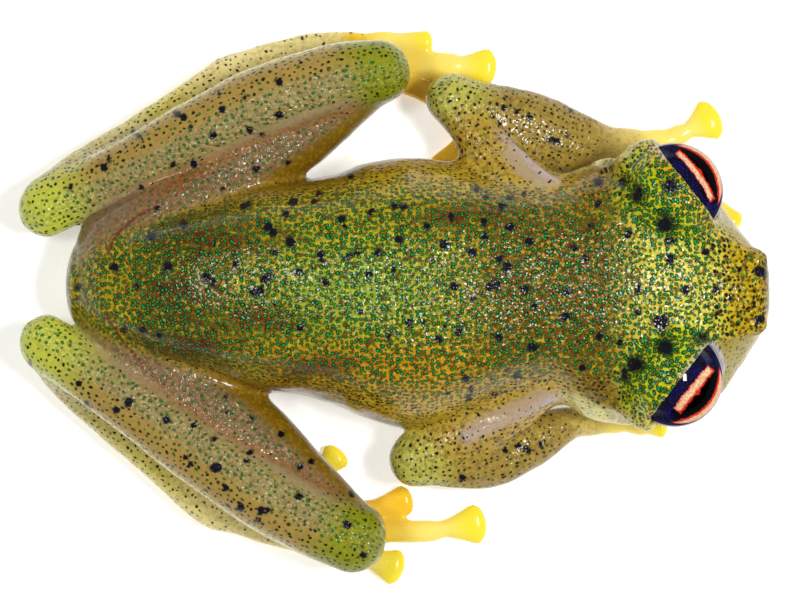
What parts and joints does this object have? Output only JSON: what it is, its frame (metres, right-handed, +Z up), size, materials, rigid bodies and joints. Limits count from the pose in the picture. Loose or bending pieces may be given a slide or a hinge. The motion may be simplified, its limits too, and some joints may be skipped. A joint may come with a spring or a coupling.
{
  "type": "glass frog model",
  "caption": "Life-size still model of a glass frog crouching with folded limbs, large side-facing eyes and disc-tipped yellow digits, resting flat on its belly, hands and feet.",
  "frame": {"origin": "on the floor, under the middle of the whole animal's outline", "axes": "+X forward out through the snout, +Y to the animal's left, +Z up"},
  "size_m": [0.03, 0.0223, 0.0073],
  "materials": {
    "skin_back": "moist granular skin, olive green with fine green and dark dots",
    "skin_limb": "moist translucent skin, tan and yellow green with dark dots",
    "skin_digit": "smooth moist translucent yellow skin",
    "eye": "clear wet dome over an indigo and cream iris with a black slit pupil"
  },
  "bodies": {
    "root": {"torso": "skin_back", "head": "skin_back", "eye_left": "eye", "eye_right": "eye", "upper_arm_left": "skin_limb", "upper_arm_right": "skin_limb", "forearm_left": "skin_limb", "forearm_right": "skin_limb", "hand_left": "skin_digit", "hand_right": "skin_digit", "thigh_left": "skin_limb", "thigh_right": "skin_limb", "shank_left": "skin_limb", "shank_right": "skin_limb", "tarsus_left": "skin_limb", "tarsus_right": "skin_limb", "foot_left": "skin_digit", "foot_right": "skin_digit"}
  },
  "joints": []
}
